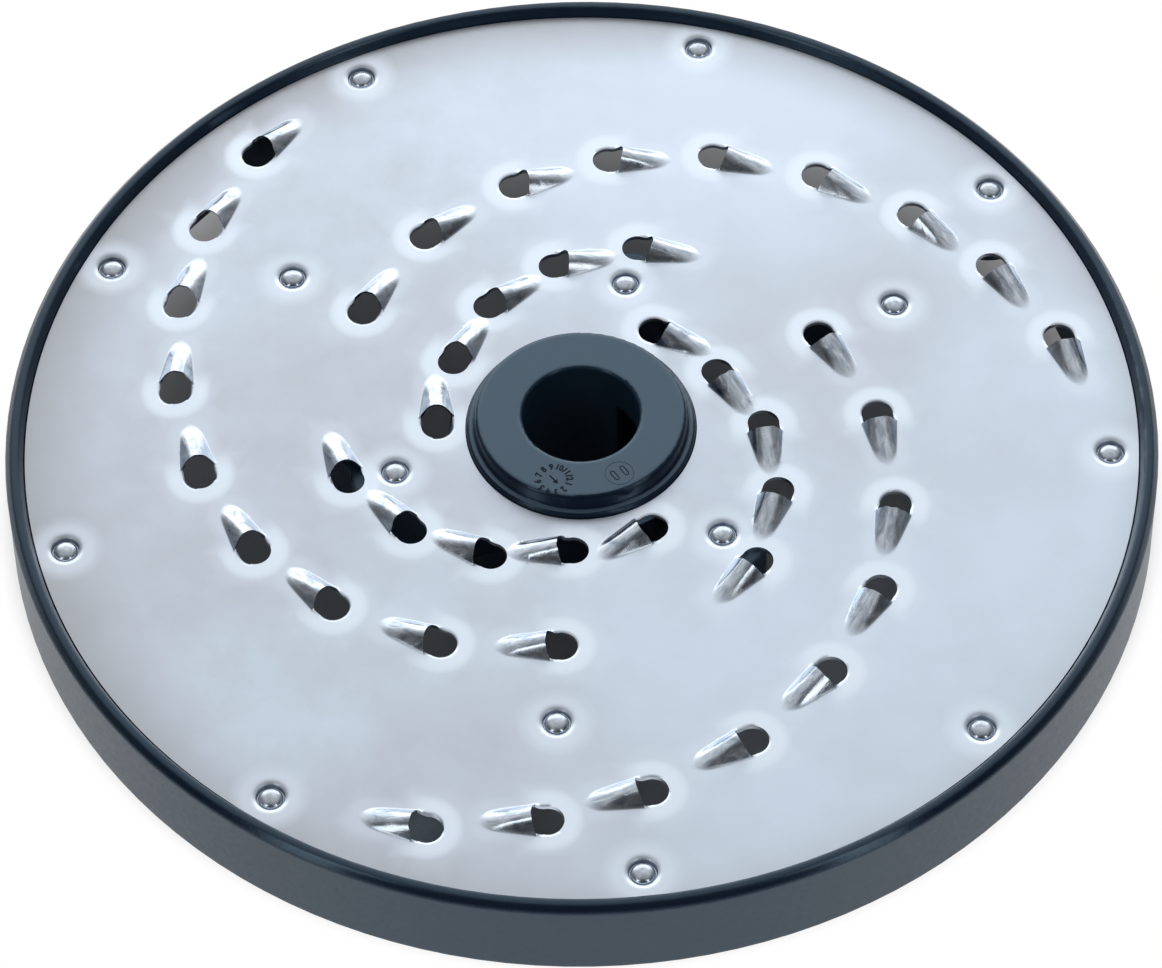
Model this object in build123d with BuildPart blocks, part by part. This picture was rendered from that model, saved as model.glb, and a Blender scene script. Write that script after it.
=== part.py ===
"""Grating disc of a vegetable cutter: a moulded carrier wheel, a stamped plate with raised teeth, and rivets."""

from build123d import *
import math
import os

os.makedirs("parts", exist_ok=True)

# Driving sizes, in millimetres and degrees

# Heights: the plate above the hub's foot, the rest measured up or down from the plate
plate_level = 32.5
hub_rise = 4.4
collar_rise = 1.2
rim_rise = 2.2
web_drop = 13.6
rim_drop = 17.8

# Rim section, from the outside inwards
rim_radius = 118.0
rim_draft = 0.4
rim_chamfer_width = 1.2
rim_chamfer_height = 1.4
rim_land_width = 1.5
rim_wall_lean = 1.0
rim_edge_round = 0.4
rim_foot_bevel = 0.5
skirt_width = 4.0
ledge_width = 7.2

# Hub
bore_radius = 12.0
cap_radius = 21.5
cap_lean = 0.6
collar_step = 1.4
plate_seat_width = 3.5
hub_draft = 1.5
cap_edge_round = 0.8
collar_round = 0.8
bore_edge_round = 0.7
hub_foot_bevel = 1.0

# Slot across the lower bore for the drive pin
slot_width = 7.0
slot_length = 34.0
slot_roof = 10.0
slot_angle = 34.5

# Spokes, each swept through one inner, one middle and one rim rivet
spoke_count = 3
spoke_width = 13.0
spoke_root_lead = 25.0
boss_radius = 9.0

# Sheet and its fits
sheet_thickness = 1.0
plate_gap = 0.2
collar_gap = 0.2

# One tooth: a tongue pressed up behind a punched hole, with a flat crest between two leaning flanks
hole_radius = 3.25
tooth_width = 7.0
crest_width = 3.6
tail_width = 4.2
tooth_rise = 3.0
tooth_length = 9.3
tooth_wall = 0.45
crest_round = 0.9
tail_round = 0.2
tail_sink = 0.1
lip_setback = 3.2
tooth_skew = 4.0

# Teeth stand on spiral arms, one track nearer the hub from tooth to tooth
arm_count = 3
tooth_edge_margin = 11.9
tooth_hub_margin = 6.0
track_pitch = 5.86
outer_arm_angle = 12.0
outer_arm_steps = (13.1, 12.6, 14.6, 15.5, 16.6, 16.9, 20.5, 23.1)
inner_arm_angle = 74.9
inner_arm_steps = (21.6, 23.5, 25.9, 32.1)

# Rivets and the dimples that sink their heads
rim_rivet_count = 9
rim_rivet_inset = 5.7
middle_rivet_radius = 72.9
inner_rivet_radius = 39.4
rivet_angle = 75.2
middle_rivet_lag = 50.0
rim_rivet_lag = 80.0
rivet_head_radius = 2.75
rivet_dome_radius = 2.4
rivet_head_rise = 1.5
rivet_head_edge = 0.35
rivet_shank_radius = 1.6
rivet_tail_radius = 2.6
rivet_tail_height = 1.2
rivet_grip = 6.0
shank_gap = 0.1
tail_gap = 0.6
dimple_radius = 4.4
dimple_neck_radius = 3.1
dimple_floor_radius = 2.9
dimple_wall = 0.5
dimple_depth = 1.65
dimple_gap = 0.3

# Levels and radii that follow from them
hub_top = plate_level + hub_rise
collar_top = plate_level + collar_rise
rim_top = plate_level + rim_rise
rim_foot = plate_level - rim_drop
web_foot = plate_level - web_drop
ledge_level = plate_level - sheet_thickness

rim_top_radius = rim_radius - rim_draft
rim_inner_radius = rim_top_radius - rim_chamfer_width - rim_land_width
recess_radius = rim_inner_radius - rim_wall_lean
plate_radius = recess_radius - plate_gap
ledge_radius = plate_radius - ledge_width
rim_rivet_radius = plate_radius - rim_rivet_inset
collar_radius = cap_radius + cap_lean + collar_step
hub_radius = collar_radius + plate_seat_width


def polar(radius, angle):
    """Point at a radius and an angle from the disc's axis."""
    return Vector(radius * math.cos(math.radians(angle)), radius * math.sin(math.radians(angle)))


def around(radius, first_angle, count):
    """Evenly spaced points on a circle about the disc's axis."""
    return [polar(radius, first_angle + 360 * k / count) for k in range(count)]


def at_level(points, level):
    """The same plan points at one height."""
    return [(point.X, point.Y, level) for point in points]


# Rivet places: one ring on the rim, and two more rivets along each spoke
rivet_spots = around(rim_rivet_radius, rivet_angle, rim_rivet_count)
rivet_spots += around(middle_rivet_radius, rivet_angle - middle_rivet_lag, spoke_count)
rivet_spots += around(inner_rivet_radius, rivet_angle, spoke_count)


def dish(depth, spread):
    """Round hollow below the origin's level, with a rolled lip, steep sides and a flat floor."""
    with BuildPart() as hollow:
        with BuildSketch(Plane.XZ):
            with BuildLine():
                lip = (dimple_radius + spread, 0)
                neck = (dimple_neck_radius + spread, -depth / 2)
                TangentArc(lip, neck, tangent=(-1, 0))
                Polyline(neck, (dimple_floor_radius + spread, -depth), (0, -depth), (0, 0), lip)
            make_face()
        revolve(axis=Axis.Z)
    return hollow.part


# Upper and lower form of a dimple in the sheet, and the pocket that clears it in the carrier
dimple_top = dish(dimple_depth, 0)
dimple_bottom = dish(dimple_depth, dimple_wall)
dimple_pocket = dish(dimple_depth + dimple_gap, dimple_wall + dimple_gap)


def track_radius(track):
    """Radius of a tooth, counted in tracks from the plate's edge and held clear of the hub."""
    return max(plate_radius - tooth_edge_margin - track * track_pitch, collar_radius + tooth_hub_margin)


def arm_places(first_track, first_angle, steps):
    """Places of one arm's teeth, from its outer end inwards, each mouth facing anticlockwise."""
    places = []
    for k in range(len(steps) + 1):
        angle = first_angle + sum(steps[:k])
        spot = polar(track_radius(first_track + k), angle)
        places.append(Location((spot.X, spot.Y, plate_level), (0, 0, angle + 90 + tooth_skew)))
    return places


tooth_places = []
for arm in range(arm_count):
    turn = 360 * arm / arm_count
    tooth_places += arm_places(0, outer_arm_angle + turn, outer_arm_steps)
    tooth_places += arm_places(len(outer_arm_steps) + 1, inner_arm_angle + turn, inner_arm_steps)

# Plan of one spoke: a tangent root from the hub, then one arc through its three rivets
with BuildSketch() as spoke_plan:
    with BuildLine():
        inner_end = polar(inner_rivet_radius, rivet_angle)
        middle = polar(middle_rivet_radius, rivet_angle - middle_rivet_lag)
        rim_end = polar(rim_rivet_radius, rivet_angle - rim_rivet_lag)
        hub_end = polar(hub_radius - spoke_width / 2, rivet_angle + spoke_root_lead)
        sweep_arc = ThreePointArc(inner_end, middle, rim_end)
        TangentArc(inner_end, hub_end, tangent=(sweep_arc % 0) * -1)
    trace(line_width=spoke_width)

# Carrier wheel: rim, hub and spokes in one moulding
with BuildPart() as carrier_wheel:
    # Rim with a chamfered top land, a leaning inner wall, a ledge under the plate and a skirt below
    with BuildSketch(Plane.XZ) as rim_section:
        with BuildLine():
            Polyline(
                (ledge_radius, web_foot),
                (rim_radius - skirt_width, web_foot),
                (rim_radius - skirt_width, rim_foot),
                (rim_radius, rim_foot),
                (rim_top_radius, rim_top - rim_chamfer_height),
                (rim_top_radius - rim_chamfer_width, rim_top),
                (rim_inner_radius, rim_top),
                (recess_radius, plate_level),
                (recess_radius, ledge_level),
                (ledge_radius, ledge_level),
                close=True,
            )
        make_face()
        fillet(rim_section.vertices().group_by(Axis.Y)[-1], rim_edge_round)
        chamfer(rim_section.vertices().group_by(Axis.Y)[0], rim_foot_bevel)
    revolve(axis=Axis.Z)

    # Hub: a drafted body with a seat for the plate, a collar through it and a leaning cap
    with BuildSketch(Plane.XZ) as hub_section:
        with BuildLine():
            Polyline(
                (bore_radius, 0),
                (hub_radius - hub_draft, 0),
                (hub_radius, ledge_level),
                (collar_radius, ledge_level),
                (collar_radius, collar_top),
                (cap_radius + cap_lean, collar_top),
                (cap_radius, hub_top),
                (bore_radius, hub_top),
                close=True,
            )
        make_face()
        fillet(hub_section.vertices().group_by(Axis.Y)[2].sort_by(Axis.X)[-1], collar_round)
        fillet(hub_section.vertices().group_by(Axis.Y)[-1].sort_by(Axis.X)[-1], cap_edge_round)
        fillet(hub_section.vertices().group_by(Axis.Y)[-1].sort_by(Axis.X)[0], bore_edge_round)
        chamfer(hub_section.vertices().group_by(Axis.Y)[0].sort_by(Axis.X)[-1], hub_foot_bevel)
    revolve(axis=Axis.Z)

    # Spokes and a boss under every rivet, level with the ledge
    with BuildSketch(Plane.XY.offset(web_foot)):
        with PolarLocations(0, spoke_count):
            add(spoke_plan.sketch)
        with Locations(*rivet_spots):
            Circle(boss_radius)
    extrude(amount=ledge_level - web_foot)

    # Slot for the drive pin, open at the hub's foot
    with Locations(Location((0, 0, 0), (0, 0, slot_angle))):
        Box(
            slot_length,
            slot_width,
            hub_top - slot_roof,
            align=(Align.CENTER, Align.CENTER, Align.MIN),
            mode=Mode.SUBTRACT,
        )

    # Room for each dimple, and a stepped hole for each rivet from below
    with Locations(*at_level(rivet_spots, ledge_level)):
        add(dimple_pocket, mode=Mode.SUBTRACT)
    with Locations(*[Location(spot, (180, 0, 0)) for spot in at_level(rivet_spots, web_foot)]):
        CounterBoreHole(
            radius=rivet_shank_radius + shank_gap,
            counter_bore_radius=rivet_tail_radius + tail_gap,
            counter_bore_depth=plate_level - dimple_depth - rivet_grip - web_foot,
        )


def tooth_section(place, width, crest_span, foot, knee, crest, corner):
    """Face across a tooth: upright below the knee, leaning flanks above it, and a crest with rounded corners."""
    with BuildSketch(Plane.YZ.offset(place)) as section:
        with BuildLine():
            Polyline(
                (-width / 2, foot),
                (width / 2, foot),
                (width / 2, knee),
                (crest_span / 2, crest),
                (-crest_span / 2, crest),
                (-width / 2, knee),
                close=True,
            )
        make_face()
        fillet(section.vertices().group_by(Axis.Y)[-1], corner)
    return section.sketch


# Outside and inside of a tooth at its lip and at its tail, the lip's wall drawn thinner than the sheet
tail_place = -lip_setback - tooth_length
tail_crest_width = tail_width - 2 * tail_round
outer_foot = -sheet_thickness / 2
inner_foot = -2 * sheet_thickness
lip_outside = tooth_section(-lip_setback, tooth_width, crest_width, outer_foot, 0, tooth_rise, crest_round)
tail_outside = tooth_section(
    tail_place,
    tail_width,
    tail_crest_width,
    outer_foot,
    -tail_sink - tail_round,
    -tail_sink,
    tail_round / 2,
)
lip_inside = tooth_section(
    -lip_setback,
    tooth_width - 2 * tooth_wall,
    crest_width - tooth_wall,
    inner_foot,
    0,
    tooth_rise - tooth_wall,
    crest_round - tooth_wall,
)
tail_inside = tooth_section(
    tail_place,
    tail_width - 2 * tooth_wall,
    tail_crest_width - 2 * tooth_wall,
    inner_foot,
    -sheet_thickness - tail_sink - tail_round,
    -sheet_thickness - tail_sink,
    tail_round / 2,
)

# Outside of one tooth, with its hole centred on the origin and its mouth towards +X
with BuildPart() as tooth_shell:
    loft(sections=[tail_outside, lip_outside], ruled=True)

# Inside of one tooth, joined to its punched hole
with BuildPart() as tooth_opening:
    loft(sections=[tail_inside, lip_inside], ruled=True)
    extrude(lip_inside, amount=lip_setback)
    Cylinder(hole_radius, -2 * inner_foot)

# Grater plate: one sheet with its teeth, its centre hole and its rivet dimples
with BuildPart() as grater_plate:
    with BuildSketch(Plane.XY.offset(ledge_level)):
        Circle(plate_radius)
        Circle(collar_radius + collar_gap, mode=Mode.SUBTRACT)
    extrude(amount=sheet_thickness)
    with Locations(*tooth_places):
        add(tooth_shell.part)
    with Locations(*tooth_places):
        add(tooth_opening.part, mode=Mode.SUBTRACT)
    with Locations(*at_level(rivet_spots, ledge_level)):
        add(dimple_bottom)
    with Locations(*at_level(rivet_spots, plate_level)):
        add(dimple_top, mode=Mode.SUBTRACT)
        Hole(rivet_shank_radius + shank_gap)

# One rivet with its head's seat on the origin: flanged dome, shank and formed tail
with BuildPart() as rivet:
    with BuildSketch(Plane.XZ):
        with BuildLine():
            head_top = (0, rivet_head_rise)
            dome_foot = (rivet_dome_radius, rivet_head_edge)
            Polyline(
                head_top,
                (0, -rivet_grip - rivet_tail_height),
                (rivet_tail_radius, -rivet_grip - rivet_tail_height),
                (rivet_tail_radius, -rivet_grip),
                (rivet_shank_radius, -rivet_grip),
                (rivet_shank_radius, 0),
                (rivet_head_radius, 0),
                (rivet_head_radius, rivet_head_edge),
                dome_foot,
            )
            TangentArc(head_top, dome_foot, tangent=(1, 0))
        make_face()
    revolve(axis=Axis.Z)

# All rivets, as separate solids on their dimples' floors
with BuildPart() as rivets:
    with Locations(*at_level(rivet_spots, plate_level - dimple_depth)):
        add(rivet.part)

carrier_wheel.part.label = "carrier_wheel"
grater_plate.part.label = "grater_plate"
rivets.part.label = "rivets"

export_step(carrier_wheel.part, "parts/carrier_wheel.step")
export_step(grater_plate.part, "parts/grater_plate.step")
export_step(rivets.part, "parts/rivets.step")
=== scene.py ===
import math

import bpy
import numpy as np
from mathutils import Matrix, Vector, geometry


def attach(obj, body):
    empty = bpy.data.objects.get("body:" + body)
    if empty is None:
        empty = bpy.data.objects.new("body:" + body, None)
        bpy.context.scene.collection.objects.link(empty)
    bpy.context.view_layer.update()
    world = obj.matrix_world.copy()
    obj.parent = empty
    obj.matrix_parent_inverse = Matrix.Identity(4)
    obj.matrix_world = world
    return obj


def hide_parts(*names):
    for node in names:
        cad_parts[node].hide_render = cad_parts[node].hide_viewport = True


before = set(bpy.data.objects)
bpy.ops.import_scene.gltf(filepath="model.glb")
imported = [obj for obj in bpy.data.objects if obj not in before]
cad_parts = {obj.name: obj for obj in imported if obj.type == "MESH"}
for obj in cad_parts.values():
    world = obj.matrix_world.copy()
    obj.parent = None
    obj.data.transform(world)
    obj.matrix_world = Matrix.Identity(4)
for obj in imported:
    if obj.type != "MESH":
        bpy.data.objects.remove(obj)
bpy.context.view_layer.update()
scene = bpy.context.scene
scene.view_settings.view_transform = "Standard"

# Sizes are in millimetres and degrees; meshes, materials, camera and lamps are in metres
MM = 0.001

# Sheet and hub
PLATE_LEVEL = 32.5
SHEET = 1.0
PLATE_RADIUS = 113.7
CENTRE_RADIUS = 23.7
HUB_TOP = 36.9

# Places of the teeth: each arm has two runs, given as first track, first angle and turns from tooth to tooth
ARMS = 3
OUTER_TRACK = 101.8
TRACK_STEP = 5.86
INNER_TRACK = 29.5
TOOTH_HEADING = 94
RUNS = (
    (0, 12.0, (13.1, 12.6, 14.6, 15.5, 16.6, 16.9, 20.5, 23.1)),
    (9, 74.9, (21.6, 23.5, 25.9, 32.1)),
)

# Rings of rivets: radius, first angle and count
RIVET_RINGS = ((108.0, 75.2, 9), (72.9, 25.2, 3), (39.4, 75.2, 3))

# One tooth in its own axes: its hole lies round the origin, its tongue rises from the tail to the lip
HOLE_RADIUS = 3.25
MOUTH_HALF_TURN = 101
MOUTH_STEPS = 26
SIDE_START = -0.6
SIDE_HALF = 3.18
SIDE_FLARE = 0.14
TAIL = -12.5
TAIL_HALF = 2.1
LIP = -3.2
LIP_HALF = 3.5
LIP_BOW = 0.8
LIP_BOW_HALF = 3.2
LIP_FEET = LIP + LIP_BOW
LIP_INNER_HALF = 2.9
LIP_WALL = 0.5
LIP_PLACES = (3.1, 2.95, 2.75, 2.5, 2.25, 2.0, 1.75, 1.5, 1.25, 0.9, 0.45)
FOOT_FADE = 0.9
TOOTH_RISE = 3.0
EDGE_DROP = 0.16
EDGE_ROUND = 0.3

# Form of the tongue: along it in shares of its length, and across it
TAIL_SOFTNESS = 0.008
NOSE_START = -0.08
NOSE_LENGTH = 0.34
FOOT_SHARE = 1.02
CREST_BREADTH = 2.4
CREST_ROUNDING = 1.3

# Uneven lip: size, limit, and two waves along it
RAGGED_SIZE = 0.08
RAGGED_LIMIT = 0.12
RAGGED_WAVES = (1.3, 3.1)
RAGGED_SHARE = 0.6

# Dish under a rivet
DISH_RADIUS = 3.9
DISH_NECK = 2.88
DISH_FLOOR = 2.82
DISH_LIP = 0.4
DISH_CURVE = 1.6
DISH_DEPTH_RIM = 1.55
DISH_DEPTH_INNER = 1.35
RIM_RIVETS_BEYOND = 80
DIP = 0.1
DIP_FULL = 3.8
DIP_END = 9.0
RIVET_HOLE = 1.7

# How far round its centre a tooth, a hole and a rivet are looked at, and where a dish shapes the underside
TOOTH_REACH = 20
HOLE_REACH = 6
RIVET_REACH = 12
DISH_REACH = 5.0
DEEPEST = -9

# Painted highlights round the punched holes, the tongues and the rivets: strength, where it begins to fade
# and where it ends
HOLE_HALO = (0.95, 2.3, 5.0)
TONGUE_HALO = (0.3, 0.3, 3.0)
RIVET_HALO = (0.5, 5.0, 8.2)

# Density of the sheet's mesh
RIM_STEPS = 540
CENTRE_STEPS = 220
RIVET_HOLE_STEPS = 24
TOOTH_ROWS = (0.0, 0.05, 0.12, 0.21, 0.31, 0.42, 0.53, 0.64, 0.74, 0.83, 0.9, 0.96, 1.0, 1.05, 1.1)
TOOTH_INNER = (0.0, 0.14, 0.27, 0.38, 0.46, 0.54, 0.62, 0.7, 0.78, 0.85, 0.92, 0.985)
TOOTH_OUTER = (0.12, 0.26, 0.42, 0.7, 1.1, 1.8, 3.0)
TAIL_GAPS = (0.3, 0.7, 1.3, 2.2)
TAIL_SPREAD = (0, 0.5, 1.0, 1.5, 2.0, 2.6, 3.4)
HOLE_GAPS = (0.07, 0.16, 0.3, 0.7, 1.3, 2.1, 3.1, 4.2)
HOLE_STEP = 7.6
HOLE_STEPS = 13
SIDE_PLACES = (-1.3, -1.9, -2.4)
DISH_RINGS = (2.3, 2.8, 2.82, 2.88, 2.98, 3.1, 3.25, 3.42, 3.62, 3.85, 4.1, 4.6, 5.4, 6.6, 8.4)
DISH_SPOKES = 32
GRID_PITCH = 5.0
GRID_ROW = 0.866
GRID_REACH = 24
DOUBLE = 0.05


def polar(radius, angle):
    return radius * math.cos(math.radians(angle)), radius * math.sin(math.radians(angle))


def circle(radius, steps):
    return [polar(radius, 360 * k / steps) for k in range(steps)]


def turned(points, angle, cx, cy):
    """Plan points turned by an angle in radians and then moved."""
    c, s = math.cos(angle), math.sin(angle)
    return [(cx + c * x - s * y, cy + s * x + c * y) for x, y in points]


def tooth_spots():
    """Centre and heading of every tooth's hole: in each arm, one track nearer the hub from tooth to tooth."""
    spots = []
    for arm in range(ARMS):
        for first, start, steps in RUNS:
            for k in range(len(steps) + 1):
                angle = start + 360 / ARMS * arm + sum(steps[:k])
                radius = max(OUTER_TRACK - TRACK_STEP * (first + k), INNER_TRACK)
                spots.append((*polar(radius, angle), math.radians(angle + TOOTH_HEADING)))
    return spots


TEETH = tooth_spots()
RIVETS = [
    polar(radius, start + 360 / count * k)
    for radius, start, count in RIVET_RINGS
    for k in range(count)
]
# Four numbers for the uneven lip of each tooth
RAGGED = np.random.RandomState(7).normal(0, 1, (len(TEETH), 4))


def smooth(low, high, value):
    t = np.clip((value - low) / (high - low), 0, 1)
    return t * t * (3 - 2 * t)


def halo(mark, distance):
    """Strength of a painted highlight at a distance from what was pressed."""
    strength, full, end = mark
    return strength * smooth(end, full, distance)


def side_half(x):
    """Half width of the punched hole behind its middle, widening to the lip's corners."""
    return SIDE_HALF + SIDE_FLARE * np.clip((SIDE_START - x) / (SIDE_START - LIP), 0, 1)


def lip_bow(y):
    """How far the lip's feet stand forward of the middle of its crest."""
    return LIP_BOW * np.minimum((y / LIP_BOW_HALF) ** 2, 1)


def hole_outline():
    """Punched hole in a tooth's own axes, anticlockwise: mouth, corner, lip from side to side, corner."""
    turn = 2 * MOUTH_HALF_TURN / MOUTH_STEPS
    points = [polar(HOLE_RADIUS, -MOUTH_HALF_TURN + turn * k) for k in range(MOUTH_STEPS + 1)]
    corner = [(x, side_half(x)) for x in (*SIDE_PLACES[:2], LIP_FEET)]
    lip = [*LIP_PLACES, 0.0, *(-y for y in reversed(LIP_PLACES))]
    points += corner
    points += [(LIP + lip_bow(y), y) for y in lip]
    points += [(x, -y) for x, y in reversed(corner)]
    return np.array(points, float)


def lip_wobble(index, y):
    """Slight unevenness of a tooth's sheared lip along the mouth direction."""
    a, b, c, d = RAGGED[index]
    slow, fast = RAGGED_WAVES
    ragged = RAGGED_SIZE * (a * np.sin(slow * y + b) + RAGGED_SHARE * c * np.sin(fast * y + d))
    return np.clip(ragged, -RAGGED_LIMIT, RAGGED_LIMIT) * smooth(LIP_INNER_HALF, 2.2, np.abs(y))


def edge_gap(x, y):
    """Distance outside the punched hole."""
    round_gap = np.hypot(x, y) - HOLE_RADIUS
    side_gap = np.abs(y) - side_half(x)
    lip_gap = np.hypot(np.maximum(side_gap, 0), LIP - x)
    return np.where(x > SIDE_START, round_gap, np.where(x > LIP, side_gap, lip_gap))


def tooth_height(x, y):
    """Top of one tooth over the flat sheet, in its own axes: a tongue with a round crest and soft feet."""
    s = np.clip((x - TAIL) / (LIP - TAIL), -0.3, 1.1)
    crest = TOOTH_RISE * (s + np.sqrt(s * s + TAIL_SOFTNESS)) / 2
    nose = np.sqrt(1 - (1 - np.clip((s - NOSE_START) / NOSE_LENGTH, 0, 1)) ** 2)
    foot = FOOT_SHARE * (TAIL_HALF + (LIP_HALF - TAIL_HALF) * s) * nose
    across = np.abs(y) / np.maximum(foot, 0.01)
    arch = np.maximum(1 - across**CREST_BREADTH, 0) ** CREST_ROUNDING
    rise = crest * arch * smooth(-0.2, 0.02, s)
    fade = 1 - smooth(LIP_FEET - 0.2, LIP_FEET + FOOT_FADE, x)
    fade = np.where(np.abs(y) < LIP_INNER_HALF, 1.0, fade)
    return np.where(x < LIP_FEET + FOOT_FADE, rise * fade, 0)


def dish_depth(x, y):
    """Depth of a rivet's dish: a little fuller round the rim than further in."""
    return DISH_DEPTH_RIM if math.hypot(x, y) > RIM_RIVETS_BEYOND else DISH_DEPTH_INNER


def dish_height(radius, full):
    """Surface of a rivet's dish below the flat sheet: soft dip, sloping lip, steep wall and floor."""
    depth = full - DIP
    lip = -DISH_LIP * np.clip((DISH_RADIUS - radius) / (DISH_RADIUS - DISH_NECK), 0, 1) ** DISH_CURVE
    wall = -depth + (radius - DISH_FLOOR) * (depth - DISH_LIP) / (DISH_NECK - DISH_FLOOR)
    dish = np.where(radius > DISH_NECK, lip, np.maximum(wall, -depth))
    return dish - DIP * smooth(DIP_END, DIP_FULL, radius)


def near_tooth(points, spot, reach):
    """Indices of the plan points within reach of a tooth's hole, and their places in the tooth's own axes."""
    cx, cy, turn = spot
    d = points - (cx, cy)
    near = np.where((d**2).sum(1) < reach**2)[0]
    x = d[near, 0] * math.cos(turn) + d[near, 1] * math.sin(turn)
    y = -d[near, 0] * math.sin(turn) + d[near, 1] * math.cos(turn)
    return near, x, y


def sheet_surface(points):
    """Heights of the sheet's top and bottom at plan points, and its marks.

    The marks are the painted highlight round holes, tongues and rivets, how far it is polished, and places
    along and across a tooth.
    """
    top = np.zeros(len(points))
    thick = np.full(len(points), SHEET)
    low = np.full(len(points), -SHEET)
    painted_highlight = np.zeros(len(points))
    polish = np.zeros(len(points))
    drawn = np.zeros((len(points), 3))
    for index, spot in enumerate(TEETH):
        near, x, y = near_tooth(points, spot, TOOTH_REACH)
        rise = tooth_height(x, y)
        top[near] = np.maximum(top[near], rise)
        crown = smooth(0.2, 1.2, rise) * smooth(2.8, 1.8, np.abs(y))
        thinning = (SHEET - LIP_WALL) * smooth(TAIL, LIP, x) * crown
        thick[near] = np.minimum(thick[near], SHEET - thinning)
        gap = edge_gap(x, y)
        top[near] -= EDGE_DROP * smooth(EDGE_ROUND, 0.0, gap) * (rise < 0.01) * (x > LIP_FEET)
        body = np.hypot(x - np.clip(x, TAIL + 1, 0), y) - 3.0
        # painted highlight round the hole and the tongue
        bright = np.maximum(halo(HOLE_HALO, gap) * smooth(-8, 0, x), halo(TONGUE_HALO, body))
        painted_highlight[near] = np.maximum(painted_highlight[near], bright)
        polish[near] = np.maximum(polish[near], smooth(0.04, 0.55, rise))
        on = (np.abs(y) < 4.5) & (x < LIP + 1.5) & (x > TAIL - 2)
        drawn[near[on]] = np.column_stack([x[on], y[on], np.full(on.sum(), index)])
    for cx, cy in RIVETS:
        r = np.hypot(points[:, 0] - cx, points[:, 1] - cy)
        near = np.where(r < RIVET_REACH)[0]
        top[near] += dish_height(r[near], dish_depth(cx, cy))
        low[near[r[near] < DISH_REACH]] = DEEPEST
        # painted highlight round the rivet's dish
        painted_highlight[near] = np.maximum(painted_highlight[near], halo(RIVET_HALO, r[near]))
    return top, np.maximum(top - thick, low), painted_highlight, polish, drawn


def both_sides(x, offsets):
    """Points at one place along a tooth, to both sides of its middle."""
    row = []
    for y in offsets:
        row.append((x, y))
        if y:
            row.append((x, -y))
    return row


def tooth_points():
    """Points round one tooth in its own axes: across its tongue, behind its tail and round its hole."""
    points = []
    for row in TOOTH_ROWS:
        foot = TAIL_HALF + (LIP_HALF - TAIL_HALF) * row
        across = [foot * a for a in TOOTH_INNER] + [foot + a for a in TOOTH_OUTER]
        points += both_sides(TAIL + (LIP - TAIL) * row, across)
    for gap in TAIL_GAPS:
        points += both_sides(TAIL - gap, TAIL_SPREAD)
    for gap in HOLE_GAPS:
        angles = [HOLE_STEP * k for k in range(-HOLE_STEPS, HOLE_STEPS + 1)]
        points += [polar(HOLE_RADIUS + gap, angle) for angle in angles]
        for side in (-1, 1):
            points += [(x, side * (float(side_half(x)) + gap)) for x in SIDE_PLACES]
    return points


def in_holes(points, margin):
    """Whether plan points lie in a punched hole or within a margin of its edge."""
    inside = np.zeros(len(points), bool)
    for index, spot in enumerate(TEETH):
        near, x, y = near_tooth(points, spot, HOLE_REACH)
        lip = LIP + lip_bow(y) + lip_wobble(index, y)
        slot = (x > lip - margin) & (x < 0) & (np.abs(y) < side_half(x) + margin)
        mouth = (np.hypot(x, y) < HOLE_RADIUS + margin) & (x >= 0)
        inside[near] |= slot | mouth
    return inside


def on_sheet(points, edge, margin, hole):
    """Whether plan points lie on the sheet, clear of its edges, its holes and the rivets' holes."""
    radius = np.hypot(points[:, 0], points[:, 1])
    keep = (radius > CENTRE_RADIUS + edge) & (radius < PLATE_RADIUS - edge) & ~in_holes(points, margin)
    for cx, cy in RIVETS:
        keep &= np.hypot(points[:, 0] - cx, points[:, 1] - cy) > hole
    return keep


def thinned(points):
    """Points with near doubles taken out: the first of each small cell stays."""
    cells = np.round(points / DOUBLE).astype(np.int64)
    _, first = np.unique(cells, axis=0, return_index=True)
    return points[np.sort(first)]


def sheet_points():
    """Plan points of the sheet, dense where it is formed, and the edges that must stay."""
    points, edges, loose = [], [], []

    def ring(loop):
        first, count = len(points), len(loop)
        points.extend(loop)
        edges.extend((first + k, first + (k + 1) % count) for k in range(count))

    ring(circle(PLATE_RADIUS, RIM_STEPS))
    ring(circle(CENTRE_RADIUS, CENTRE_STEPS))
    outline = hole_outline()
    around = tooth_points()
    for index, (cx, cy, turn) in enumerate(TEETH):
        hole = []
        for x, y in outline:
            on_lip = x < -2.3 and abs(y) < LIP_INNER_HALF
            hole.append((x + (float(lip_wobble(index, y)) if on_lip else 0), y))
        ring(turned(hole, turn, cx, cy))
        loose += turned(around, turn, cx, cy)
    for cx, cy in RIVETS:
        ring([(cx + x, cy + y) for x, y in circle(RIVET_HOLE, RIVET_HOLE_STEPS)])
        for j, radius in enumerate(DISH_RINGS):
            for k in range(DISH_SPOKES):
                x, y = polar(radius, 360 / DISH_SPOKES * (k + 0.5 * (j % 2)))
                loose.append((cx + x, cy + y))
    for j in range(-GRID_REACH, GRID_REACH + 1):
        for i in range(-GRID_REACH, GRID_REACH + 1):
            loose.append(((i + 0.5 * (j % 2)) * GRID_PITCH, j * GRID_PITCH * GRID_ROW))
    loose = np.array(loose)
    loose = loose[on_sheet(loose, edge=0.4, margin=0.03, hole=RIVET_HOLE + 0.2)]
    return np.vstack([np.array(points), thinned(loose)]), edges


def add_object(name, data):
    """Object of a mesh, camera or lamp, put in the scene."""
    obj = bpy.data.objects.new(name, data)
    scene.collection.objects.link(obj)
    return obj


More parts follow.
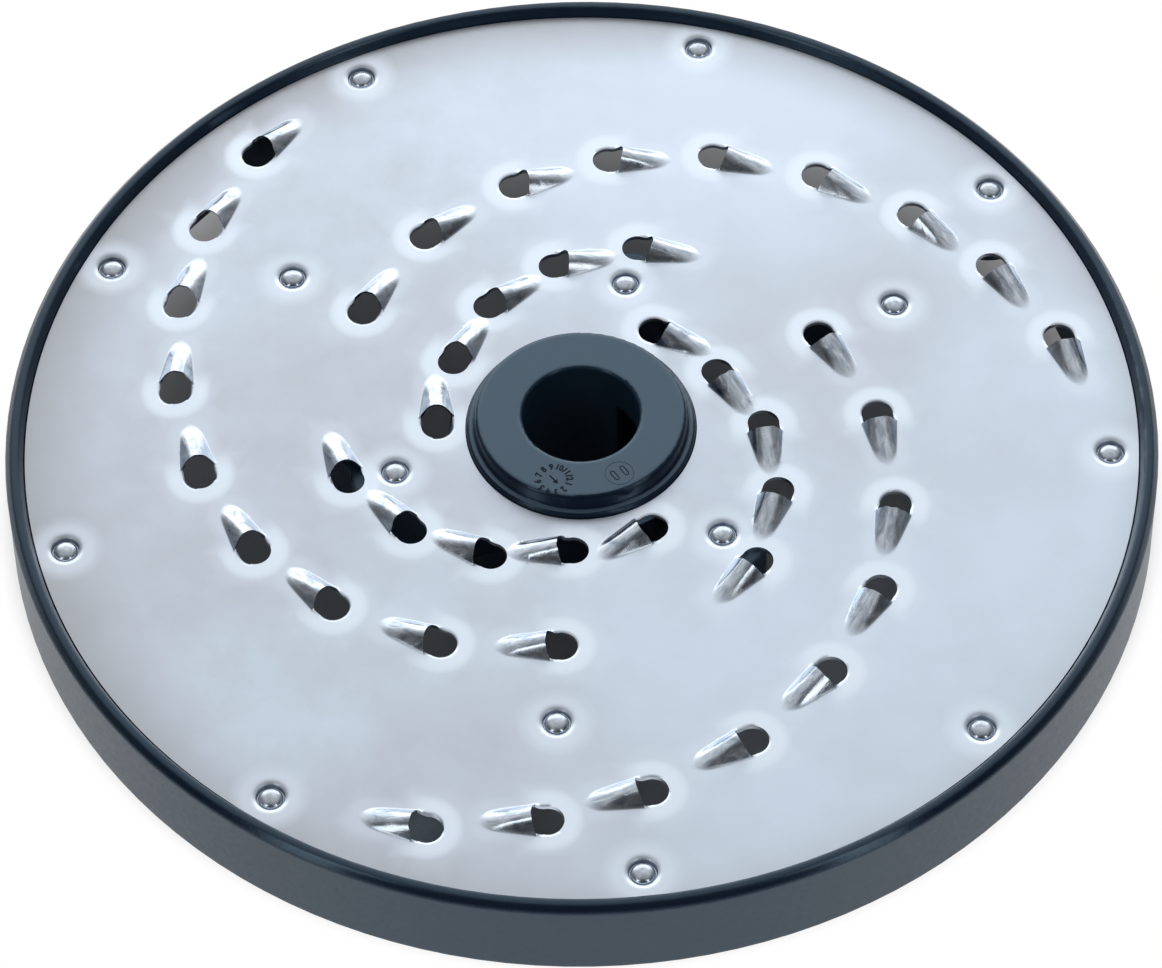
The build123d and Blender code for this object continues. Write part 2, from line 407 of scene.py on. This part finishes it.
def make_sheet():
    """Closed sheet with pressed teeth, punched holes and rivet dishes."""
    points, edges = sheet_points()
    flat = [Vector((float(x), float(y))) for x, y in points]
    made = geometry.delaunay_2d_cdt(flat, edges, [], 0, 1e-5)
    plan = np.array([(v.x, v.y) for v in made[0]])
    faces = np.array(made[2])
    faces = faces[on_sheet(plan[faces].mean(1), edge=0, margin=-0.01, hole=RIVET_HOLE - 0.01)]
    top, bottom, painted_highlight, polish, drawn = sheet_surface(plan)
    count = len(plan)
    verts = np.vstack([np.column_stack([plan, top]), np.column_stack([plan, bottom])])
    verts[:, 2] += PLATE_LEVEL
    sides = dict.fromkeys((int(f[k]), int(f[(k + 1) % 3])) for f in faces for k in range(3))
    rim = [(a, b) for a, b in sides if (b, a) not in sides]
    walls = [(b, a, a + count, b + count) for a, b in rim]
    polygons = [tuple(f) for f in faces] + [tuple(f[::-1] + count) for f in faces] + walls
    mesh = bpy.data.meshes.new("grater_sheet")
    mesh.from_pydata((verts * MM).tolist(), [], [[int(i) for i in p] for p in polygons])
    mesh.update()
    for name, values in (("painted_highlight", painted_highlight), ("polish", polish)):
        layer = mesh.attributes.new(name, "FLOAT", "POINT")
        layer.data.foreach_set("value", np.tile(values, 2).astype(np.float32))
    layer = mesh.attributes.new("drawn", "FLOAT_VECTOR", "POINT")
    layer.data.foreach_set("vector", np.tile(drawn, (2, 1)).astype(np.float32).ravel())
    mesh.shade_smooth()
    mesh.set_sharp_from_angle(angle=math.radians(48))
    return add_object("grater_sheet", mesh)


def rivet_profile():
    """Half section of a rivet from the top of its head to the end of its tail, over its seat."""
    points = [(0.0, 1.46), (0.06, 1.465), (0.12, 1.49), (0.18, 1.5)]
    for k in range(1, 17):
        a = math.radians(4.5 + 5.0 * k)
        points.append((2.45 * math.sin(a), 0.33 + 1.17 * math.cos(a)))
    points += [(2.46, 0.31), (2.52, 0.34), (2.6, 0.36), (2.68, 0.33), (2.73, 0.25), (2.75, 0.15)]
    points += [(2.74, 0.06), (2.7, 0.0), (1.6, 0.0), (1.6, -6.0), (2.5, -6.0), (2.58, -6.06)]
    points += [(2.6, -6.15), (2.6, -7.0), (2.55, -7.13), (2.4, -7.2), (0.0, -7.2)]
    return points


def make_rivets():
    """All rivets on the floors of their dishes, each turned by chance and with a slightly oval head."""
    profile = rivet_profile()
    turns = 48
    rings = len(profile) - 2
    chance = np.random.RandomState(3)
    verts, faces = [], []
    for cx, cy in RIVETS:
        top = len(verts)
        seat = PLATE_LEVEL - dish_depth(cx, cy)
        first = chance.uniform(0, 360)
        oval = 1 + chance.uniform(-0.02, 0.02)
        for r, z in profile:
            if r == 0:
                verts.append((cx, cy, seat + z))
                continue
            for k in range(turns):
                a = math.radians(first + 360 * k / turns)
                head = oval if z > 0 else 1
                verts.append((cx + r * head * math.cos(a), cy + r / head * math.sin(a), seat + z))
        body = top + 1
        tail = body + (rings - 1) * turns
        end = tail + turns
        for k in range(turns):
            n = (k + 1) % turns
            faces.append((top, body + k, body + n))
            for j in range(rings - 1):
                a, b = body + j * turns, body + (j + 1) * turns
                faces.append((a + k, b + k, b + n, a + n))
            faces.append((end, tail + n, tail + k))
    mesh = bpy.data.meshes.new("rivet_set")
    mesh.from_pydata([(x * MM, y * MM, z * MM) for x, y, z in verts], [], faces)
    mesh.shade_smooth()
    mesh.set_sharp_from_angle(angle=math.radians(60))
    return add_object("rivet_set", mesh)


# Marks on the hub's top
MARK_LOW = HUB_TOP - 0.05
MARK_HIGH = HUB_TOP + 0.03
DIAL = (-5.8, -16.75)
DIAL_RADIUS = 3.15
DIAL_TURN = 8
POINTER_TURN = -52
POINTER = [(-1.3, -0.16), (0.4, -0.16), (0.4, -0.62), (1.4, 0.0), (0.4, 0.62), (0.4, 0.16), (-1.3, 0.16)]
POINTER_FACES = [(0, 1, 5, 6), (2, 3, 4)]
# Rings: centre, turn, length, width and breadth of line
MARK_RINGS = (
    (7.5, -15.5, 0, 5.9, 5.9, 0.07),
    (6.55, -16.05, -57, 2.7, 1.05, 0.2),
    (8.5, -14.85, -57, 2.7, 1.05, 0.2),
)


def mark_outline(cx, cy, turn, length, width, line):
    """Flat oblong ring as plan points of its outer and inner loops."""
    loops = []
    for half, side in ((length / 2, width / 2), (length / 2 - line, width / 2 - line)):
        loop = []
        for end in (1, -1):
            for k in range(9):
                x, y = polar(side, -90 + 180 * k / 8)
                loop.append((end * (half - side + x), end * y))
        loops.append(turned(loop, math.radians(turn), cx, cy))
    return loops


def month_shape(month):
    """Points and faces of a month's number, upright round the origin."""
    curve = bpy.data.curves.new("month", "FONT")
    curve.body = str(month)
    curve.size = 1.95
    curve.align_x = "CENTER"
    curve.align_y = "CENTER"
    curve.offset = 0.08
    curve.resolution_u = 3
    holder = bpy.data.objects.new("month", curve)
    shape = bpy.data.meshes.new_from_object(holder)
    points = [(0.85 * v.co.x, v.co.y) for v in shape.vertices]
    faces = [tuple(f.vertices) for f in shape.polygons]
    bpy.data.objects.remove(holder)
    bpy.data.curves.remove(curve)
    bpy.data.meshes.remove(shape)
    return points, faces


def make_marks():
    """Moulder's date dial with its twelve months and pointer, and a round cavity mark, on the hub's top."""
    verts, faces = [], []

    def band(outer, inner):
        first, count = len(verts), len(outer)
        for loop, z in ((outer, MARK_LOW), (outer, MARK_HIGH), (inner, MARK_HIGH), (inner, MARK_LOW)):
            verts.extend((x, y, z) for x, y in loop)
        for j in range(3):
            for k in range(count):
                n = (k + 1) % count
                a, b = first + j * count, first + (j + 1) * count
                faces.append((a + k, a + n, b + n, b + k))

    def plate(points, polygons):
        first = len(verts)
        verts.extend((x, y, MARK_HIGH) for x, y in points)
        faces.extend(tuple(first + i for i in p) for p in polygons)

    for month in range(1, 13):
        points, polygons = month_shape(month)
        angle = DIAL_TURN - 30 * month
        x, y = polar(DIAL_RADIUS, angle)
        plate(turned(points, math.radians(angle - 90), DIAL[0] + x, DIAL[1] + y), polygons)
    plate(turned(POINTER, math.radians(POINTER_TURN), *DIAL), POINTER_FACES)
    for mark in MARK_RINGS:
        band(*mark_outline(*mark))
    mesh = bpy.data.meshes.new("hub_marks")
    mesh.from_pydata([(x * MM, y * MM, z * MM) for x, y, z in verts], [], faces)
    return add_object("hub_marks", mesh)


def grey(value):
    return (value, value, value)


class Paint:
    """Node material in the making. Each method adds a node and gives back the socket that comes out of it."""

    def __init__(self, name):
        self.material = bpy.data.materials.new(name)
        self.material.use_nodes = True
        self.nodes = self.material.node_tree.nodes
        self.links = self.material.node_tree.links
        self.nodes.clear()
        self.out = self.nodes.new("ShaderNodeOutputMaterial")

    def add(self, kind, **settings):
        """Node of a kind, with settings of its own."""
        node = self.nodes.new("ShaderNode" + kind)
        for key, value in settings.items():
            setattr(node, key, value)
        return node

    def feed(self, socket, value):
        """Link a socket to another one, or set its constant."""
        if isinstance(value, bpy.types.NodeSocket):
            self.links.new(value, socket)
        else:
            socket.default_value = value

    def finish(self, shader):
        """Shader joined to the output."""
        self.links.new(shader.outputs[0], self.out.inputs[0])

    def principled(self, **values):
        """Principled shader joined to the output; underscores in the names stand for spaces."""
        shader = self.add("BsdfPrincipled")
        for key, value in values.items():
            self.feed(shader.inputs[key.replace("_", " ")], value)
        self.finish(shader)

    def where(self):
        """Place on the object."""
        return self.add("TexCoord").outputs["Object"]

    def surface(self, name):
        """Position or normal of the surface."""
        return self.add("NewGeometry").outputs[name]

    def mark(self, name):
        """Attribute node of a mark on the mesh."""
        return self.add("Attribute", attribute_name=name)

    def noise(self, coords, scale, detail, rough, distortion=0.0):
        node = self.add("TexNoise")
        named = {"Scale": scale, "Detail": detail, "Roughness": rough, "Distortion": distortion}
        for key, value in named.items():
            node.inputs[key].default_value = value
        self.links.new(coords, node.inputs["Vector"])
        return node.outputs["Fac"]

    def ramp(self, source, *stops):
        """Colour ramp over a factor; stops are (position, colour)."""
        node = self.add("ValToRGB")
        elements = node.color_ramp.elements
        while len(elements) < len(stops):
            elements.new(0.5)
        for element, (place, colour) in zip(elements, stops):
            element.position = place
            element.color = (*colour, 1)
        self.links.new(source, node.inputs["Fac"])
        return node.outputs["Color"]

    def mix(self, factor, a, b):
        """Colour mixed from a to b, each a socket or a constant."""
        node = self.add("Mix", data_type="RGBA")
        self.links.new(factor, node.inputs[0])
        for socket, value in ((node.inputs[6], a), (node.inputs[7], b)):
            self.feed(socket, (*value, 1) if isinstance(value, tuple) else value)
        return node.outputs[2]

    def span(self, value, low, high, first=0.0, last=1.0, curve="LINEAR"):
        """Value brought from the range low to high to the range first to last."""
        node = self.add("MapRange", interpolation_type=curve)
        named = {"From Min": low, "From Max": high, "To Min": first, "To Max": last, "Value": value}
        for key, given in named.items():
            self.feed(node.inputs[key], given)
        return node.outputs["Result"]

    def maths(self, operation, *values):
        node = self.add("Math", operation=operation)
        for socket, value in zip(node.inputs, values):
            self.feed(socket, value)
        return node.outputs[0]

    def vector(self, operation, *values):
        node = self.add("VectorMath", operation=operation)
        for socket, value in zip(node.inputs, values):
            self.feed(socket, value)
        return node.outputs["Value" if operation in ("LENGTH", "DISTANCE") else "Vector"]

    def split(self, vector):
        """Outputs X, Y and Z of a vector."""
        node = self.add("SeparateXYZ")
        self.links.new(vector, node.inputs[0])
        return node.outputs

    def bump(self, height, strength, distance, normal=None):
        node = self.add("Bump")
        node.inputs["Strength"].default_value = strength
        node.inputs["Distance"].default_value = distance
        self.links.new(height, node.inputs["Height"])
        if normal is not None:
            self.links.new(normal, node.inputs["Normal"])
        return node.outputs["Normal"]

    def eased(self, radius):
        """Normal of edges that look rounded."""
        node = self.add("Bevel", samples=6)
        node.inputs["Radius"].default_value = radius
        return node.outputs["Normal"]


def plastic_material():
    """Moulded plastic of the carrier: satin, polished on sloping edges, with painted light on the rim's
    upright walls and in the bore.
    """
    paint = Paint("carrier_plastic")
    where = paint.where()
    fine = paint.noise(where, 900, 6, 0.6)
    upward = paint.split(paint.surface("Normal"))["Z"]
    reach = paint.vector("LENGTH", paint.vector("MULTIPLY", where, (1, 1, 0)))
    outer = paint.span(reach, 0.03, 0.05)
    bore = paint.span(reach, 0.0122, 0.0132, 1.0, 0.0)
    upright = paint.ramp(upward, (0.1, grey(1)), (0.5, grey(0)))
    rim_wall = paint.maths("MULTIPLY", upright, outer)
    patch = paint.noise(where, 35, 5, 0.6)
    tint = paint.ramp(patch, (0.3, (0.004, 0.012, 0.028)), (0.7, (0.006, 0.015, 0.034)))
    # painted light: upright faces beyond the hub get a paler, bluer colour than the tops
    tint = paint.mix(rim_wall, tint, (0.008, 0.022, 0.042))
    # painted light: the bore's wall gets a paler colour, standing for light reflected in it
    tint = paint.mix(bore, tint, (0.014, 0.034, 0.06))
    satin = paint.ramp(fine, (0.3, grey(0.36)), (0.7, grey(0.45)))
    shine = paint.ramp(fine, (0.3, grey(0.16)), (0.7, grey(0.21)))
    edge = paint.ramp(upward, (0.08, grey(0)), (0.16, grey(1)), (0.9, grey(1)), (0.985, grey(0)))
    hub_level = paint.ramp(upward, (0.9, grey(0.3)), (0.985, grey(1)))
    paint.principled(
        Base_Color=tint,
        Roughness=paint.mix(edge, satin, shine),
        IOR=1.7,
        Specular_Tint=(0.54, 0.78, 1.0, 1),
        Specular_IOR_Level=paint.mix(outer, hub_level, grey(0.47)),
        Normal=paint.bump(fine, 0.04, 0.0002, paint.eased(0.0011)),
    )
    return paint.material


def sheet_material():
    """Satin stainless sheet, clouded on its left half, with painted highlights round holes, tongues and
    rivets, painted shade near the rim, and streaky teeth.
    """
    paint = Paint("plate_steel")
    where = paint.where()
    painted_highlight = paint.mark("painted_highlight").outputs["Fac"]
    polish = paint.mark("polish").outputs["Fac"]
    drawn = paint.mark("drawn").outputs["Vector"]
    plain = paint.ramp(
        paint.noise(where, 11, 7, 0.6),
        (0.36, (0.53, 0.582, 0.655)),
        (0.48, (0.57, 0.637, 0.735)),
        (0.62, (0.62, 0.708, 0.822)),
    )
    haze = paint.ramp(paint.noise(where, 60, 6, 0.62), (0.4, grey(0.0)), (0.62, grey(0.25)))
    left = paint.span(paint.split(where)["X"], 0.03, -0.05, curve="SMOOTHSTEP")
    plain = paint.mix(paint.maths("MULTIPLY", haze, left), plain, (0.45, 0.475, 0.515))
    # painted shade: the sheet's colour darkens towards the rim, standing for the rim wall's reflection in it
    away = paint.vector("DISTANCE", where, (0.005, -0.004, PLATE_LEVEL * MM))
    rim_reflection_shade = paint.span(away, 0.1, 0.121, 0.0, 0.8, "SMOOTHSTEP")
    plain = paint.mix(rim_reflection_shade, plain, (0.37, 0.385, 0.41))
    # painted highlight: the sheet's colour is brightened round holes, tongues and rivets
    bright = paint.mix(painted_highlight, plain, (0.745, 0.832, 0.94))
    streak = paint.noise(paint.vector("MULTIPLY", drawn, (0.27, 0.75, 3.7)), 1.0, 2.5, 0.5, 0.7)
    steel = paint.ramp(streak, (0.32, (0.36, 0.425, 0.505)), (0.66, (0.76, 0.83, 0.92)))
    fresh = paint.ramp(streak, (0.3, grey(0.14)), (0.7, grey(0.3)))
    satin = paint.ramp(paint.noise(where, 700, 3, 0.6), (0.3, grey(0.3)), (0.7, grey(0.38)))
    paint.principled(
        Base_Color=paint.mix(polish, bright, steel),
        Metallic=1.0,
        Roughness=paint.mix(polish, satin, fresh),
        Normal=paint.bump(paint.maths("MULTIPLY", streak, polish), 0.4, 0.00012),
    )
    return paint.material


def rivet_material():
    """Drawn steel of the rivets, slightly uneven."""
    paint = Paint("rivet_steel")
    patch = paint.noise(paint.where(), 700, 4, 0.6)
    paint.principled(
        Base_Color=paint.ramp(patch, (0.35, (0.38, 0.425, 0.485)), (0.65, (0.56, 0.62, 0.7))),
        Metallic=1.0,
        Roughness=paint.ramp(patch, (0.3, grey(0.13)), (0.7, grey(0.3))),
        Normal=paint.bump(patch, 0.25, 0.00005),
    )
    return paint.material


def mark_material():
    """Painted shade of the moulded marks: a dark colour standing for the shadow in their hollows."""
    paint = Paint("carrier_marks")
    patch = paint.noise(paint.where(), 1500, 3, 0.6)
    paint.principled(
        Base_Color=paint.ramp(patch, (0.35, (0.004, 0.008, 0.016)), (0.75, (0.012, 0.022, 0.035))),
        Roughness=paint.ramp(patch, (0.3, grey(0.5)), (0.7, grey(0.65))),
        Specular_IOR_Level=0.12,
    )
    return paint.material


def dress(obj, mat):
    obj.data.materials.clear()
    obj.data.materials.append(mat)


dress(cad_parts["carrier_wheel"], plastic_material())
for piece, mat, node, slot in (
    (make_sheet(), sheet_material(), "grater_plate", "plate_steel"),
    (make_rivets(), rivet_material(), "rivets", "rivet_steel"),
    (make_marks(), mark_material(), None, "carrier_plastic"),
):
    dress(piece, mat)
    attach(piece, "root")
    if node:
        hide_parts(node)


def camera():
    """Camera fitted to the photograph: it looks down by the tilt and leans by the roll."""
    data = bpy.data.cameras.new("camera")
    data.lens = 147.11
    data.sensor_width = 36
    data.sensor_fit = "HORIZONTAL"
    data.shift_x = 0.0161
    data.shift_y = -0.0831
    data.clip_start = 0.01
    data.clip_end = 100
    tilt = math.radians(51.6556)
    roll = math.radians(-1.18361)
    offset = Vector((4.257, 28.174, 997.158)) * MM
    level = Matrix(((1, 0, 0), (0, -math.sin(tilt), -math.cos(tilt)), (0, math.cos(tilt), -math.sin(tilt))))
    lean = Matrix(((math.cos(roll), -math.sin(roll), 0), (math.sin(roll), math.cos(roll), 0), (0, 0, 1)))
    look = lean @ level
    place = -(look.transposed() @ offset)
    axes = Matrix((look[0], -look[1], -look[2])).transposed()
    obj = add_object("camera", data)
    obj.matrix_world = Matrix.Translation(place) @ axes.to_4x4()
    scene.camera = obj


def floor():
    """Pale paper: matt and shaded under and close round the disc, white further out as seen and mirrored."""
    size = 6.0
    mesh = bpy.data.meshes.new("floor")
    corners = [(-size, -size, 0), (size, -size, 0), (size, size, 0), (-size, size, 0)]
    mesh.from_pydata(corners, [], [(0, 1, 2, 3)])
    obj = add_object("floor", mesh)
    obj.location.z = -0.0002
    paint = Paint("floor_paper")
    matt = paint.add("BsdfDiffuse")
    matt.inputs["Color"].default_value = (0.6, 0.61, 0.62, 1)
    white = paint.add("Emission")
    white.inputs["Color"].default_value = (1, 1, 1, 1)
    away = paint.vector("DISTANCE", paint.surface("Position"), (0, 0.014, 0))
    far = paint.span(away, 0.112, 0.125, curve="SMOOTHSTEP")
    rays = paint.add("LightPath").outputs
    seen = paint.maths("MAXIMUM", rays["Is Camera Ray"], rays["Is Glossy Ray"])
    seen = paint.maths("MAXIMUM", seen, rays["Is Transmission Ray"])
    mix = paint.add("MixShader")
    paint.feed(mix.inputs[0], paint.maths("MULTIPLY", seen, far))
    paint.feed(mix.inputs[1], matt.outputs[0])
    paint.feed(mix.inputs[2], white.outputs[0])
    paint.finish(mix)
    mesh.materials.append(paint.material)


def sky():
    """Plain white surround."""
    world = bpy.data.worlds.new("studio")
    scene.world = world
    world.use_nodes = True
    nodes, links = world.node_tree.nodes, world.node_tree.links
    nodes.clear()
    out = nodes.new("ShaderNodeOutputWorld")
    white = nodes.new("ShaderNodeBackground")
    white.inputs["Color"].default_value = (1, 1, 1, 1)
    links.new(white.outputs[0], out.inputs[0])


def canopy():
    """Cloth over the stage, open towards the far side, that dims towards the camera and to the sides."""
    radius, rows, turns = 5.0, 24, 48
    opening = 45
    verts, faces = [], []
    for j in range(rows + 1):
        from_far = math.radians(opening + (180 - opening) * j / rows)
        side, along = radius * math.sin(from_far), radius * math.cos(from_far)
        for k in range(turns):
            a = 2 * math.pi * k / turns
            verts.append((side * math.cos(a), along, side * math.sin(a)))
    for j in range(rows):
        for k in range(turns):
            n = (k + 1) % turns
            faces.append((j * turns + k, j * turns + n, (j + 1) * turns + n, (j + 1) * turns + k))
    mesh = bpy.data.meshes.new("canopy")
    mesh.from_pydata(verts, [], faces)
    obj = add_object("canopy", mesh)
    paint = Paint("canopy_cloth")
    place = paint.split(paint.surface("Position"))
    tone = paint.ramp(
        paint.span(place["Y"], -radius, radius),
        (0.0, grey(0.08)),
        (0.3, grey(0.15)),
        (0.5, grey(0.54)),
        (0.7, grey(0.8)),
        (0.81, grey(1.0)),
    )
    aside = paint.maths("ABSOLUTE", place["X"])
    dim = paint.span(aside, 0.4 * radius, 0.85 * radius, 1.0, 0.3, "SMOOTHSTEP")
    glow = paint.add("Emission")
    paint.feed(glow.inputs["Color"], tone)
    paint.feed(glow.inputs["Strength"], dim)
    paint.finish(glow)
    mesh.materials.append(paint.material)
    obj.visible_camera = False


def softbox(name, azimuth, elevation, distance, width, height, radiance):
    """Area lamp that faces the disc; its radiance is what a mirror would show."""
    data = bpy.data.lights.new(name, "AREA")
    data.shape = "RECTANGLE"
    data.size = width
    data.size_y = height
    data.energy = radiance * math.pi * width * height
    obj = add_object(name, data)
    a, e = math.radians(azimuth), math.radians(elevation)
    way = Vector((math.cos(a) * math.cos(e), math.sin(a) * math.cos(e), math.sin(e)))
    obj.location = way * distance
    obj.rotation_mode = "QUATERNION"
    obj.rotation_quaternion = way.to_track_quat("Z", "Y")


camera()
floor()
sky()
canopy()
softbox("left_box", azimuth=224, elevation=36, distance=1.4, width=0.3, height=1.0, radiance=2.2)
softbox("right_box", azimuth=314, elevation=36, distance=1.4, width=0.24, height=1.0, radiance=2.4)
softbox("far_box", azimuth=92, elevation=22, distance=1.8, width=2.4, height=1.2, radiance=0.9)
